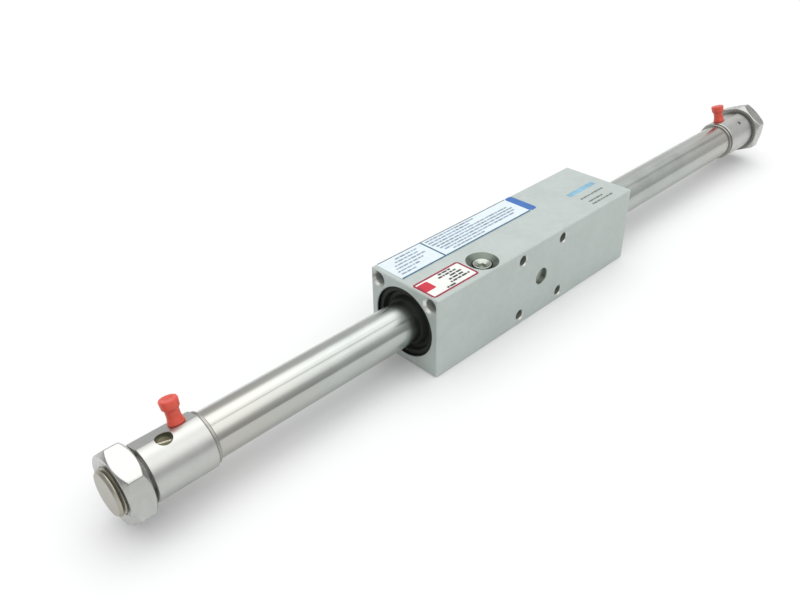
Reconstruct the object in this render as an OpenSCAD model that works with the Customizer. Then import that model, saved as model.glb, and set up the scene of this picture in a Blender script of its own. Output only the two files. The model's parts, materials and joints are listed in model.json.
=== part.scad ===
// Rodless pneumatic cylinder with a magnetically coupled carriage.
// A thin-walled barrel between two screwed end caps holds a magnetic piston, and a
// square carriage with ring magnets of its own runs on the outside of the barrel.
// X runs along the barrel and Z is up. The origin is on the surface that the
// carriage stands on, under the middle of the barrel.

/* [Barrel] */
// Diameter of the barrel's bore
bore_d = 16; // [15.5:0.1:17]
// Thickness of the barrel's wall
tube_wall = 0.6; // [0.4:0.1:1]
// Working stroke
stroke = 200; // [60:10:400]
// Gap between the carriage and an end cap's collar at the end of the stroke
end_gap = 2.7; // [1:0.1:6]
// Place of the carriage, measured from mid stroke
carriage_rest = -13.7; // [-25:0.1:25]

/* [End caps] */
// Outer diameter of the end caps
cap_d = 20.2; // [19.9:0.1:22]
// Length of an end cap's round body
cap_l = 21.7; // [20.5:0.1:30]
// Depth of the flat that the port is drilled in
flat_depth = 0.6; // [0.5:0.05:0.9]
// Lean of the ports away from the vertical
port_tilt = 18.5; // [0:0.5:30]
// Distance from a cap's mouth to its port
port_pos = 5.9; // [5.5:0.1:6.5]
// Core diameter of the port's thread
port_d = 4.2; // [3.6:0.1:4.4]
// Length of the spigot that plugs the barrel
spigot_l = 8; // [6:0.5:12]
// Depth of a cap's mouth, where the barrel and its collar seat
mouth_l = 3; // [2:0.1:3.2]
// Edge break on turned parts
turned_edge = 0.3; // [0.1:0.05:0.4]

/* [Barrel collars] */
// Outer diameter of a collar's flange
collar_d = 18.9; // [18.9:0.1:20.2]
// Thickness of a collar's flange
collar_t = 1.1; // [0.6:0.1:2]
// Groove between a collar's flange and its cap
collar_groove = 0.3; // [0.2:0.1:0.6]
// Wall of a collar's sleeve
collar_wall = 0.65; // [0.4:0.05:0.8]

/* [Cushioning] */
// Diameter of the cushion spigots on the piston
cushion_d = 7.2; // [6.6:0.1:7.4]
// Length of a cushion spigot beyond the piston's buffer
cushion_l = 8; // [4:0.5:12]
// Radial width of the air space around a cushion spigot
chamber_gap = 0.4; // [0.2:0.05:0.5]
// Depth of the cushion chamber inside a cap, measured from the cap's mouth
chamber_l = 14.5; // [14:0.1:16]
// Distance from a cap's mouth to the cushion screw
needle_pos = 12.8; // [12:0.1:13]
// Angle between the port and the cushion screw, around the cap
needle_angle = 26; // [24:1:30]
// Diameter of the hole above the cushion screw's head
needle_mouth_d = 5.7; // [5:0.1:6]
// Diameter of the cushion screw
needle_d = 4.6; // [4:0.1:4.6]
// Depth of the cushion screw's head below the cap's surface
needle_depth = 1.7; // [1:0.1:2]
// Width of the screwdriver slot
slot_w = 0.8; // [0.5:0.1:1.2]
// Depth of the screwdriver slot
slot_depth = 0.8; // [0.4:0.1:1]
// Turn of the screwdriver slot away from the barrel's direction
slot_turn = 18; // [-90:1:90]
// Diameter of the air drillings
air_d = 1; // [0.6:0.1:1.1]
// Sideways place of the air drilling along the cap
air_side = 3; // [2.8:0.1:3.2]
// Diameter of the ball that blanks the cross drilling
ball_d = 2; // [1.6:0.1:2.4]
// Angle between the port and the blanking ball, around the cap
ball_angle = 52; // [48:1:56]

/* [Thread and nut] */
// Outer diameter of the mounting thread
thread_d = 16; // [14:0.5:17]
// Pitch of the mounting thread
thread_pitch = 1.5; // [1:0.25:1.5]
// Length of the threaded stub
stub_l = 11.6; // [10.6:0.1:20]
// Length of the relief between a cap and its thread
relief_l = 1.5; // [1:0.1:2]
// Depth of the relief below the thread's crests
relief_depth = 1.1; // [0.9:0.1:1.5]
// Chamfer at the end of the thread
stub_chamfer = 0.8; // [0.4:0.1:1.2]
// Width of a mounting nut across its flats
nut_af = 24; // [22:0.5:27]
// Thickness of a mounting nut
nut_t = 8; // [6:0.5:8]
// Angle of the chamfer on a mounting nut's corners
nut_chamfer = 30; // [20:1:30]
// Turn of the near nut's corners from the vertical
nut_turn_near = -12.6; // [-30:0.1:30]
// Turn of the far nut's corners from the vertical
nut_turn_far = 6.4; // [-30:0.1:30]

/* [Port plugs] */
// Diameter of a plug's foot
plug_foot_d = 5.7; // [5:0.1:6.2]
// Diameter of a plug's waist
plug_waist_d = 4.7; // [4.3:0.1:5.4]
// Diameter of a plug's head
plug_head_d = 6.4; // [5.8:0.1:8]
// Gap between a plug's foot and the flat
plug_lift = 0.1; // [0.1:0.1:0.8]
// Height of a plug above the flat
plug_h = 8.6; // [7:0.1:12]
// Length of a plug's shank inside the port
plug_shank_l = 4; // [2:0.5:5]

/* [Carriage] */
// Length of the carriage
carriage_l = 126.6; // [115:0.2:160]
// Width and height of the carriage
carriage_w = 35; // [32:0.1:40]
// Thinnest wall around the carriage's bore
carriage_wall = 3; // [2.8:0.1:3.4]
// Edge break along the carriage's edges
carriage_edge = 0.4; // [0.2:0.05:0.6]
// Chamfer at the mouths of the carriage's bore
carriage_mouth = 0.5; // [0.2:0.05:0.6]
// Spacing of the tapped holes in the mounting face, along the barrel
side_spacing_x = 26.4; // [20:0.2:34]
// Distance of the mounting face's tapped holes from the carriage's top and bottom
side_hole_edge = 4.5; // [4.1:0.1:5]
// Core diameter of the tapped holes in the mounting face
side_hole_d = 4.2; // [3.3:0.1:4.4]
// Depth of the tapped holes in the mounting face
side_hole_depth = 6.5; // [4:0.5:6.5]
// Diameter of the locating bore
locating_d = 7; // [5:0.5:9]
// Depth of the locating bore
locating_depth = 1.6; // [1:0.1:1.8]
// Distance of the end holes from the carriage's sides
end_hole_edge = 3.9; // [3.8:0.1:4.2]
// Core diameter of the tapped holes in the carriage's ends
end_hole_d = 5; // [3.3:0.1:5.2]
// Depth of the tapped holes in the carriage's ends
end_hole_depth = 12; // [8:0.5:15]
// Width of the countersink around a tapped hole's core
countersink_w = 0.5; // [0.3:0.05:0.6]
// Width of the larger countersink around an end hole's core
end_countersink_w = 0.95; // [0.5:0.05:1]

/* [Lock screw] */
// Distance of the lock screw from the mounting face
lock_edge = 7.3; // [7.2:0.1:7.8]
// Diameter of the dished recess above the lock screw
lock_dish_d = 13.4; // [11:0.1:13.4]
// Depth of the dish
lock_dish_depth = 1.5; // [1:0.1:2]
// Diameter of the lock screw's head
lock_head_d = 7.6; // [6:0.1:8]
// Wall left between the lock screw's recess and the carriage's bore
lock_floor = 0.5; // [0.3:0.1:0.8]
// Depth of the lock screw's head below the carriage's top
lock_head_depth = 1.2; // [0.8:0.1:1.3]
// Diameter of the lock screw's shank
lock_shank_d = 4; // [3:0.5:4]
// Width of the lock screw's hexagon socket across its flats
lock_socket_af = 3; // [2:0.5:3]
// How far the lock screw reaches into the pole plate
lock_bite = 0.9; // [0.5:0.1:1.2]

/* [Bearings and wipers] */
// Depth of a wiper below the carriage's end
wiper_recess = 1.2; // [0.8:0.1:2]
// Thickness of a wiper
wiper_t = 4; // [3:0.1:6]
// Length of a bearing bush
bearing_l = 12; // [8:0.5:14]
// Running clearance of the pieces that slide or turn on each other, on the radius
running_gap = 0.05; // [0.03:0.01:0.08]

/* [Magnet packs] */
// Number of ring magnets in a pack
magnet_n = 5; // [3:1:5]
// Thickness of a ring magnet
magnet_t = 8.1; // [6:0.1:9]
// Thickness of a pole plate
plate_t = 4; // [3.6:0.1:5]
// Gap between the carriage's magnets and the barrel, on the radius
outer_magnet_gap = 0.6; // [0.3:0.05:1]
// Gap between the piston's magnets and the bore, on the radius
inner_magnet_gap = 0.7; // [0.4:0.05:1]
// Step between a pole plate's rim and a magnet's rim
plate_step = 0.1; // [0:0.05:0.3]
// Radial slack of rings seated in a bore
seat_gap = 0.02; // [0.01:0.01:0.03]

/* [Piston] */
// Gap between the piston's buffers and the caps at the end of the stroke
piston_gap = 0.4; // [0.2:0.1:1]
// Diameter of the piston's spindle
spindle_d = 5; // [3:0.5:5]
// Length of a piston disc
disc_l = 14; // [12:0.5:16]
// Thickness of a buffer
buffer_t = 2; // [1:0.1:3]
// Outer diameter of a buffer
buffer_d = 13; // [12.6:0.1:14]
// Width of a piston seal
piston_seal_w = 3; // [2:0.1:3.4]
// Width of a piston guide ring
guide_w = 5; // [3:0.1:5.4]
// Diameter of the spacers beside the piston's magnets
spacer_d = 12; // [9:0.5:14]

/* [Labels] */
// Thickness of the labels
label_t = 0.15; // [0.05:0.05:0.3]
// Length of the wide label
wide_label_l = 81.6; // [60:0.2:90]
// Width of the wide label
wide_label_w = 15; // [10:0.1:15.2]
// Length of the small label
tag_l = 25.1; // [18:0.1:25.2]
// Width of the small label
tag_w = 12.2; // [8:0.1:12.6]
// Margin of the wide label from the carriage's end
label_margin = 2; // [1:0.1:2.2]
// Margin of the small label from the carriage's end
tag_margin = 0.6; // [0.4:0.1:0.7]

/* [Hidden] */
$fn = 96;
cut = 1; // how far a cutting tool runs past the face that it opens

// Barrel and caps, along X from the middle of the barrel
axis_z = carriage_w / 2;
bore_r = bore_d / 2;
tube_r = bore_r + tube_wall;
tube_shown = carriage_l + stroke + 2 * end_gap;
cap_x = tube_shown / 2 + collar_t + collar_groove;
tube_l = 2 * (cap_x + mouth_l);
cap_r = cap_d / 2;
flat_r = cap_r - flat_depth;
mouth_r = tube_r + collar_wall;

// Cushioning, measured in a cap's own frame
cushion_r = cushion_d / 2;
chamber_r = cushion_r + chamber_gap;
cushion_seal_w = 2.5;
cushion_seal_r = cushion_r + 1.9;
needle_r = needle_d / 2;
needle_top = cap_r - needle_depth;
needle_neck_r = needle_r - 1;
needle_head_t = slot_depth + 0.8;
needle_ring_w = 0.7;
needle_ring_top = needle_top - needle_head_t;
needle_collar_t = 0.3;
needle_foot = needle_ring_top - needle_ring_w - needle_collar_t;
needle_floor = chamber_r + 0.9;
needle_tip_r = 0.55;
needle_seat_r = needle_tip_r + 0.2;
needle_tip = needle_floor - 0.4;
air_height = (needle_floor + needle_foot) / 2;

// Heights on a plug as shares of its height: the waist's two ends, and the head's underside
plug_waist_low = 0.28;
plug_waist_high = 0.55;
plug_head_low = 0.62;

// Static seal between a cap's spigot and the barrel
tube_seal_w = 1.5;
tube_seal_depth = 0.8;
tube_seal_x = -spigot_l / 2;

// Thread and nut
thread_r = thread_d / 2;
thread_depth = 0.54 * thread_pitch;
thread_from = cap_l + relief_l;
thread_turns = floor((stub_l - relief_l - stub_chamfer) / thread_pitch);
nut_x = cap_x + cap_l + relief_l;
nut_corner_r = nut_af / 2 / cos(30);

// Carriage, measured from its own middle
carriage_x = carriage_l / 2;
carriage_bore_r = carriage_w / 2 - carriage_wall;
side_hole_z = carriage_w / 2 - side_hole_edge;
end_hole_y = carriage_w / 2 - end_hole_edge;
wiper_x = carriage_x - wiper_recess - wiper_t;
bearing_x = wiper_x - bearing_l;
plate_n = magnet_n + 1;
pack_pitch = magnet_t + plate_t;
pack_x = magnet_n * pack_pitch / 2 + plate_t / 2;
pack_r = carriage_bore_r - seat_gap;

// Lock screw, in the carriage's frame
lock_x = -magnet_n * pack_pitch / 2;
lock_y = lock_edge - carriage_w / 2;
lock_recess_r = lock_head_d / 2 + 0.4;
lock_seat_z = bore_height(-lock_y - lock_recess_r) + lock_floor;
lock_head_z = carriage_w / 2 - lock_head_depth;
lock_tip_z = bore_height(lock_y) - lock_bite;

// Wiper's rings, as shares of the room between the barrel and the carriage's bore
wiper_room = carriage_bore_r - tube_r;
wiper_body_r = tube_r + wiper_room * 0.68;
wiper_web_outer_r = tube_r + wiper_room * 0.54;
wiper_web_inner_r = tube_r + wiper_room * 0.27;
wiper_lip_outer_r = tube_r + wiper_room * 0.12;
wiper_lip_out = 0.5;

// Piston, measured from its own middle
inner_l = 2 * (cap_x - spigot_l);
piston_x = (inner_l - stroke) / 2 - piston_gap;
disc_to = piston_x - buffer_t;
disc_from = disc_to - disc_l;
disc_r = bore_r - 0.15;
slide_r = bore_r - running_gap;
spindle_r = spindle_d / 2;
spindle_x = piston_x + 3;
spigot_flange_t = 1.5;
spigot_flange_r = cushion_r + 1.8;
seal_core_r = bore_r - 2.3;
seal_to = disc_to - spigot_flange_t - 1;
seal_from = seal_to - piston_seal_w;
guide_core_r = bore_r - 0.9;
guide_to = seal_from - 1.5;
guide_from = guide_to - guide_w;
groove_play = 0.05;

// Labels, measured from the carriage's middle
label_x = -carriage_x + label_margin;
tag_x = -carriage_x + tag_margin;
wide_label_y = carriage_w / 2 - 0.5 - wide_label_w;
tag_y = -carriage_w / 2 + 1.8;
tag_corner = 1.2;

// Height of the carriage's bore above its axis, at a place beside the axis
function bore_height(y) = sqrt(pow(carriage_bore_r, 2) - pow(y, 2));

// Turns a shape that was built along Z so that it runs along X
module along_x() {
  rotate([0, 90, 0]) children();
}

// Solid of revolution about X. The profile's points are [radius, place along X]
module turned(profile) {
  along_x() rotate_extrude() polygon(profile);
}

// Ring about X from one place to another
module ring(from, to, inner_r, outer_r) {
  turned([[inner_r, from], [outer_r, from], [outer_r, to], [inner_r, to]]);
}

// Places a cap's own frame at the far end: X outwards from the cap's mouth, Z along the port
module far_end() {
  translate([0, 0, axis_z]) rotate([-port_tilt, 0, 0]) translate([cap_x, 0, 0]) children();
}

// Places a cap's own frame at the near end, turned half round about the port
module near_end() {
  translate([0, 0, axis_z]) rotate([-port_tilt, 0, 0]) rotate([0, 0, 180])
    translate([cap_x, 0, 0]) children();
}

// Places the carriage's and the piston's frame
module at_carriage() {
  translate([carriage_rest, 0, axis_z]) children();
}

// Places a shape of the carriage or piston at the near end, turned half round about Z
module near_side() {
  at_carriage() rotate([0, 0, 180]) children();
}

// Direction square to the cap's axis at an angle from the port; drawn along Z
module cap_radial(x, angle) {
  translate([x, 0, 0]) rotate([-angle, 0, 0]) children();
}

// Blind tapped hole going down from the origin, with a countersunk mouth
module tapped_hole(core_d, depth, sink_w) {
  translate([0, 0, -depth]) cylinder(d = core_d, h = depth + cut);
  translate([0, 0, -sink_w]) cylinder(r1 = core_d / 2, r2 = core_d / 2 + sink_w, h = sink_w);
  cylinder(r = core_d / 2 + sink_w, h = cut);
}

// Flat plate with round corners, lying on Z = 0 with its low corner at the origin
module label_plate(l, w, corner) {
  linear_extrude(label_t) union() {
    translate([corner, 0]) square([l - 2 * corner, w]);
    translate([0, corner]) square([l, w - 2 * corner]);
    for (x = [corner, l - corner], y = [corner, w - corner]) translate([x, y]) circle(corner);
  }
}

// ---- Barrel ----

module barrel_tube() {
  color([0.78, 0.78, 0.76]) translate([0, 0, axis_z]) ring(-tube_l / 2, tube_l / 2, bore_r, tube_r);
}

// Profile of the threaded stub with its relief, ring-shaped thread and chamfered end
function thread_rings() = [
  for (i = [0:thread_turns - 1], side = [0, 1])
    [thread_r - thread_depth * side, thread_from + (i + 0.25 + side * 0.5) * thread_pitch]
];

function stub_profile() = concat(
  [[0, cap_l - cut], [thread_r - relief_depth, cap_l - cut], [thread_r - relief_depth, thread_from]],
  thread_rings(),
  [
    [thread_r, thread_from + thread_turns * thread_pitch],
    [thread_r, cap_l + stub_l - stub_chamfer],
    [thread_r - stub_chamfer, cap_l + stub_l],
    [0, cap_l + stub_l]
  ]
);

// One end cap in its own frame
module end_cap() {
  difference() {
    union() {
      turned([
        [0, 0], [cap_r - turned_edge, 0], [cap_r, turned_edge],
        [cap_r, cap_l - turned_edge], [cap_r - turned_edge, cap_l], [0, cap_l]
      ]);
      turned(stub_profile());
      turned([[0, -spigot_l], [bore_r - seat_gap - turned_edge, -spigot_l],
        [bore_r - seat_gap, turned_edge - spigot_l], [bore_r - seat_gap, cut], [0, cut]]);
    }
    ring(0, mouth_l, bore_r - seat_gap, mouth_r + seat_gap);
    ring(tube_seal_x - tube_seal_w / 2, tube_seal_x + tube_seal_w / 2, bore_r - tube_seal_depth, bore_r);
    ring(-spigot_l - cut, cushion_seal_w - spigot_l, 0, cushion_seal_r + seat_gap);
    ring(-spigot_l, chamber_l, 0, chamber_r);
    translate([-cut, -cap_r, flat_r]) cube([cap_l + 2 * cut, cap_d, cap_r]);
    translate([port_pos, 0, flat_r]) tapped_hole(port_d, flat_r - chamber_r / 2, countersink_w);
    cap_radial(needle_pos, needle_angle) {
      translate([0, 0, needle_top]) cylinder(d = needle_mouth_d, h = cap_r);
      translate([0, 0, needle_floor]) cylinder(r = needle_r + running_gap, h = cap_r);
      cylinder(r = needle_seat_r, h = cap_r);
    }
    cap_radial(needle_pos, -ball_angle) translate([0, 0, cap_r - ball_d])
      cylinder(d = ball_d, h = ball_d + cut);
    air_drillings();
  }
}

// Air way from the barrel to the cushion screw: one drilling along the cap, one across it
module air_drillings() {
  translate([-spigot_l - cut, -air_side, air_height]) along_x()
    cylinder(d = air_d, h = spigot_l + cut + needle_pos);
  cross_drilling(
    [-cap_r * sin(ball_angle), cap_r * cos(ball_angle)],
    [air_height * sin(needle_angle), air_height * cos(needle_angle)]
  );
}

// Straight drilling between two places in the plane of the cushion screw
module cross_drilling(from, to) {
  run = to - from;
  translate([needle_pos, from[0], from[1]])
    rotate([-atan2(run[0], run[1]), 0, 0])
      cylinder(d = air_d, h = norm(run));
}

module end_cap_near() {
  color([0.86, 0.86, 0.85]) near_end() end_cap();
}

module end_cap_far() {
  color([0.86, 0.86, 0.85]) far_end() end_cap();
}

// Collar round the barrel: a flange that shows and a sleeve inside the cap's mouth
module tube_collar() {
  turned([
    [tube_r, -collar_groove - collar_t],
    [collar_d / 2 - turned_edge, -collar_groove - collar_t],
    [collar_d / 2, turned_edge - collar_groove - collar_t],
    [collar_d / 2, -collar_groove],
    [mouth_r, -collar_groove],
    [mouth_r, mouth_l],
    [tube_r, mouth_l]
  ]);
}

module tube_collar_near() {
  color([0.74, 0.74, 0.73]) near_end() tube_collar();
}

module tube_collar_far() {
  color([0.74, 0.74, 0.73]) far_end() tube_collar();
}

module tube_seal() {
  ring(tube_seal_x - tube_seal_w / 2, tube_seal_x + tube_seal_w / 2, bore_r - tube_seal_depth, bore_r);
}

module tube_seal_near() {
  color([0.1, 0.1, 0.1]) near_end() tube_seal();
}

module tube_seal_far() {
  color([0.1, 0.1, 0.1]) far_end() tube_seal();
}

// Seal at the mouth of the cushion chamber
module cushion_seal() {
  ring(-spigot_l, cushion_seal_w - spigot_l, cushion_r + running_gap, cushion_seal_r);
}

module cushion_seal_near() {
  color([0.12, 0.12, 0.12]) near_end() cushion_seal();
}

module cushion_seal_far() {
  color([0.12, 0.12, 0.12]) far_end() cushion_seal();
}

// Ball pressed into the mouth of the cross drilling
module blanking_ball() {
  cap_radial(needle_pos, -ball_angle) translate([0, 0, cap_r - ball_d / 2]) sphere(d = ball_d);
}

module blanking_ball_near() {
  color([0.7, 0.7, 0.7]) near_end() blanking_ball();
}

module blanking_ball_far() {
  color([0.7, 0.7, 0.7]) far_end() blanking_ball();
}

// ---- Mounting nuts ----

// Hexagon nut about X, chamfered on both faces
module mounting_nut(turn) {
  face_r = nut_af / 2 - turned_edge;
  blank_r = nut_corner_r + cut;
  fall = tan(nut_chamfer) * (blank_r - face_r);
  difference() {
    intersection() {
      along_x() rotate([0, 0, turn]) cylinder(r = nut_corner_r, h = nut_t, $fn = 6);
      turned([
        [0, 0], [face_r, 0], [blank_r, fall], [blank_r, nut_t - fall], [face_r, nut_t], [0, nut_t]
      ]);
    }
    turned([
      [0, -cut], [thread_r + running_gap + turned_edge + cut, -cut], [thread_r + running_gap, turned_edge],
      [thread_r + running_gap, nut_t - turned_edge],
      [thread_r + running_gap + turned_edge + cut, nut_t + cut], [0, nut_t + cut]
    ]);
  }
}

module mounting_nut_near() {
  color([0.8, 0.8, 0.8]) translate([-nut_x - nut_t, 0, axis_z]) mounting_nut(nut_turn_near);
}

module mounting_nut_far() {
  color([0.8, 0.8, 0.8]) translate([nut_x, 0, axis_z]) mounting_nut(nut_turn_far);
}

// ---- Port plugs ----

// Plug in the port: a shank, a flared foot, a waist and a wider head
module port_plug() {
  foot_r = plug_foot_d / 2;
  waist_r = plug_waist_d / 2;
  head_r = plug_head_d / 2;
  shank_r = port_d / 2 - running_gap;
  translate([port_pos, 0, flat_r]) rotate_extrude() polygon([
    [0, -plug_shank_l], [shank_r - turned_edge, -plug_shank_l], [shank_r, turned_edge - plug_shank_l],
    [shank_r, plug_lift], [foot_r, plug_lift], [foot_r, plug_lift + turned_edge],
    [waist_r, plug_waist_low * plug_h], [waist_r, plug_waist_high * plug_h],
    [head_r - turned_edge, plug_head_low * plug_h], [head_r, plug_h - turned_edge],
    [head_r - turned_edge, plug_h], [0, plug_h]
  ]);
}

module port_plug_near() {
  color([0.85, 0.28, 0.22]) near_end() port_plug();
}

module port_plug_far() {
  color([0.85, 0.28, 0.22]) far_end() port_plug();
}

// ---- Cushion screws ----

// Slotted needle screw: head, neck for its seal, collar and tapered tip
module cushion_screw() {
  cap_radial(needle_pos, needle_angle) difference() {
    rotate_extrude() polygon([
      [0, needle_tip], [needle_tip_r / 2, needle_tip], [needle_tip_r, needle_foot],
      [needle_r - turned_edge / 2, needle_foot], [needle_r - turned_edge / 2, needle_foot + needle_collar_t],
      [needle_neck_r, needle_foot + needle_collar_t], [needle_neck_r, needle_ring_top],
      [needle_r, needle_ring_top], [needle_r, needle_top - turned_edge / 2],
      [needle_r - turned_edge / 2, needle_top], [0, needle_top]
    ]);
    rotate(-slot_turn) translate([-needle_r - cut, -slot_w / 2, needle_top - slot_depth])
      cube([needle_d + 2 * cut, slot_w, slot_depth + cut]);
  }
}

module cushion_screw_near() {
  color([0.45, 0.43, 0.32]) near_end() cushion_screw();
}

module cushion_screw_far() {
  color([0.45, 0.43, 0.32]) far_end() cushion_screw();
}

module screw_seal() {
  cap_radial(needle_pos, needle_angle) translate([0, 0, needle_ring_top - needle_ring_w])
    difference() {
      cylinder(r = needle_r, h = needle_ring_w);
      translate([0, 0, -cut]) cylinder(r = needle_neck_r, h = needle_ring_w + 2 * cut);
    }
}

module screw_seal_near() {
  color([0.1, 0.1, 0.1]) near_end() screw_seal();
}

module screw_seal_far() {
  color([0.1, 0.1, 0.1]) far_end() screw_seal();
}

// ---- Carriage ----

// Square with broken corners
function broken_square(w, e) = [
  [-w / 2 + e, -w / 2], [w / 2 - e, -w / 2], [w / 2, -w / 2 + e], [w / 2, w / 2 - e],
  [w / 2 - e, w / 2], [-w / 2 + e, w / 2], [-w / 2, w / 2 - e], [-w / 2, -w / 2 + e]
];

// Rectangle, long along its first axis, with broken corners
function broken_oblong(l, w, e) = [
  [-l / 2 + e, -w / 2], [l / 2 - e, -w / 2], [l / 2, -w / 2 + e], [l / 2, w / 2 - e],
  [l / 2 - e, w / 2], [-l / 2 + e, w / 2], [-l / 2, w / 2 - e], [-l / 2, -w / 2 + e]
];

// Block with a small flat along each of its twelve edges
module housing_block() {
  intersection() {
    translate([-carriage_x, 0, 0]) along_x() linear_extrude(carriage_l)
      polygon(broken_square(carriage_w, carriage_edge));
    translate([0, 0, -carriage_w / 2]) linear_extrude(carriage_w)
      polygon(broken_oblong(carriage_l, carriage_w, carriage_edge));
    translate([0, carriage_w / 2, 0]) rotate([90, 0, 0]) linear_extrude(carriage_w)
      polygon(broken_oblong(carriage_l, carriage_w, carriage_edge));
  }
}

module carriage_holes() {
  for (side = [-1, 1], y = [-1, 1])
    translate([side * carriage_x, y * end_hole_y, end_hole_y]) rotate([0, side * 90, 0])
      tapped_hole(end_hole_d, end_hole_depth, end_countersink_w);
  for (x = [-1, 1], z = [-1, 1])
    translate([x * side_spacing_x / 2, -carriage_w / 2, z * side_hole_z]) rotate([90, 0, 0])
      tapped_hole(side_hole_d, side_hole_depth, countersink_w);
  translate([0, -carriage_w / 2, 0]) rotate([90, 0, 0])
    tapped_hole(locating_d, locating_depth, countersink_w / 1.5);
}

// Recess for the lock screw: a dish, a seat for the head and a hole into the bore
module lock_recess() {
  translate([lock_x, lock_y, carriage_w / 2]) {
    translate([0, 0, -lock_dish_depth])
      cylinder(r1 = lock_recess_r, r2 = lock_dish_d / 2, h = lock_dish_depth);
    cylinder(d = lock_dish_d, h = cut);
  }
  translate([lock_x, lock_y, 0]) {
    translate([0, 0, lock_seat_z]) cylinder(r = lock_recess_r, h = carriage_w / 2);
    cylinder(r = lock_shank_d / 2 + seat_gap, h = carriage_w / 2);
  }
}

module carriage_housing() {
  color([0.8, 0.82, 0.8]) at_carriage() difference() {
    housing_block();
    turned([
      [0, -carriage_x - cut], [carriage_bore_r + carriage_mouth + cut, -carriage_x - cut],
      [carriage_bore_r, carriage_mouth - carriage_x], [carriage_bore_r, carriage_x - carriage_mouth],
      [carriage_bore_r + carriage_mouth + cut, carriage_x + cut], [0, carriage_x + cut]
    ]);
    carriage_holes();
    lock_recess();
  }
}

// Socket screw that stops the magnet pack from sliding in the carriage
module lock_screw() {
  head_r = lock_head_d / 2;
  shank_r = lock_shank_d / 2;
  color([0.72, 0.72, 0.7]) at_carriage() translate([lock_x, lock_y, 0]) difference() {
    rotate_extrude() polygon([
      [0, lock_tip_z], [shank_r - turned_edge, lock_tip_z], [shank_r, lock_tip_z + turned_edge],
      [shank_r, lock_seat_z], [head_r, lock_seat_z],
      [head_r, lock_head_z - turned_edge], [head_r - turned_edge, lock_head_z], [0, lock_head_z]
    ]);
    translate([0, 0, lock_seat_z + (lock_head_z - lock_seat_z) / 3])
      cylinder(r = lock_socket_af / 2 / cos(30), h = lock_head_z, $fn = 6);
  }
}

// Wiper with an outer body, a thin web and a lip that rides on the barrel
module wiper() {
  lip_r = tube_r + running_gap;
  turned([
    [lip_r, wiper_x], [carriage_bore_r, wiper_x], [carriage_bore_r, wiper_x + wiper_t],
    [wiper_body_r, wiper_x + wiper_t], [wiper_web_outer_r, wiper_x + wiper_t / 2],
    [wiper_web_inner_r, wiper_x + wiper_t / 2], [wiper_lip_outer_r, wiper_x + wiper_t + wiper_lip_out],
    [lip_r, wiper_x + wiper_t + wiper_lip_out]
  ]);
}

module wiper_near() {
  color([0.08, 0.08, 0.08]) near_side() wiper();
}

module wiper_far() {
  color([0.08, 0.08, 0.08]) at_carriage() wiper();
}

module bearing() {
  ring(bearing_x, wiper_x, tube_r + running_gap, carriage_bore_r);
}

module bearing_near() {
  color([0.25, 0.22, 0.18]) near_side() bearing();
}

module bearing_far() {
  color([0.25, 0.22, 0.18]) at_carriage() bearing();
}

module outer_spacer() {
  ring(pack_x, bearing_x, tube_r + outer_magnet_gap, pack_r);
}

module outer_spacer_near() {
  color([0.7, 0.7, 0.72]) near_side() outer_spacer();
}

module outer_spacer_far() {
  color([0.7, 0.7, 0.72]) at_carriage() outer_spacer();
}

// A pack's ring magnets, one between each two pole plates
module magnet_rings(inner_r, outer_r) {
  for (i = [0:magnet_n - 1])
    ring(plate_t - pack_x + i * pack_pitch, plate_t - pack_x + i * pack_pitch + magnet_t, inner_r, outer_r);
}

// A pack's pole plates
module plate_rings(inner_r, outer_r) {
  for (i = [0:plate_n - 1])
    ring(i * pack_pitch - pack_x, i * pack_pitch - pack_x + plate_t, inner_r, outer_r);
}

module outer_magnets() {
  color([0.35, 0.35, 0.38]) at_carriage() magnet_rings(tube_r + outer_magnet_gap, pack_r - plate_step);
}

// The first plate has a dimple for the lock screw's tip
module outer_pole_plates() {
  color([0.55, 0.55, 0.57]) at_carriage() difference() {
    plate_rings(tube_r + outer_magnet_gap, pack_r);
    translate([lock_x, lock_y, lock_tip_z]) cylinder(r = lock_shank_d / 2 + seat_gap, h = carriage_w);
  }
}

module wide_label() {
  color([0.93, 0.95, 0.98]) at_carriage() translate([label_x, wide_label_y, carriage_w / 2])
    label_plate(wide_label_l, wide_label_w, tag_corner);
}

module small_label() {
  color([0.95, 0.9, 0.9]) at_carriage() translate([tag_x, tag_y, carriage_w / 2])
    label_plate(tag_l, tag_w, tag_corner);
}

// ---- Piston ----

module piston_spindle() {
  color([0.75, 0.75, 0.76]) at_carriage() along_x() translate([0, 0, -spindle_x])
    cylinder(r = spindle_r, h = 2 * spindle_x);
}

module inner_magnets() {
  color([0.35, 0.35, 0.38]) at_carriage() magnet_rings(spindle_r, bore_r - inner_magnet_gap - plate_step);
}

module inner_pole_plates() {
  color([0.55, 0.55, 0.57]) at_carriage() plate_rings(spindle_r, bore_r - inner_magnet_gap);
}

module inner_spacer() {
  ring(pack_x, disc_from, spindle_r, spacer_d / 2);
}

module inner_spacer_near() {
  color([0.7, 0.7, 0.72]) near_side() inner_spacer();
}

module inner_spacer_far() {
  color([0.7, 0.7, 0.72]) at_carriage() inner_spacer();
}

// Disc with grooves for the guide ring and the seal, and a seat for the spigot's flange
module piston_disc() {
  difference() {
    ring(disc_from, disc_to, spindle_r, disc_r);
    ring(guide_from, guide_to, guide_core_r, bore_r);
    ring(seal_from, seal_to, seal_core_r, bore_r);
    ring(disc_to - spigot_flange_t, disc_to + cut, 0, spigot_flange_r + seat_gap);
  }
}

module piston_disc_near() {
  color([0.82, 0.82, 0.8]) near_side() piston_disc();
}

module piston_disc_far() {
  color([0.82, 0.82, 0.8]) at_carriage() piston_disc();
}

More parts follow.
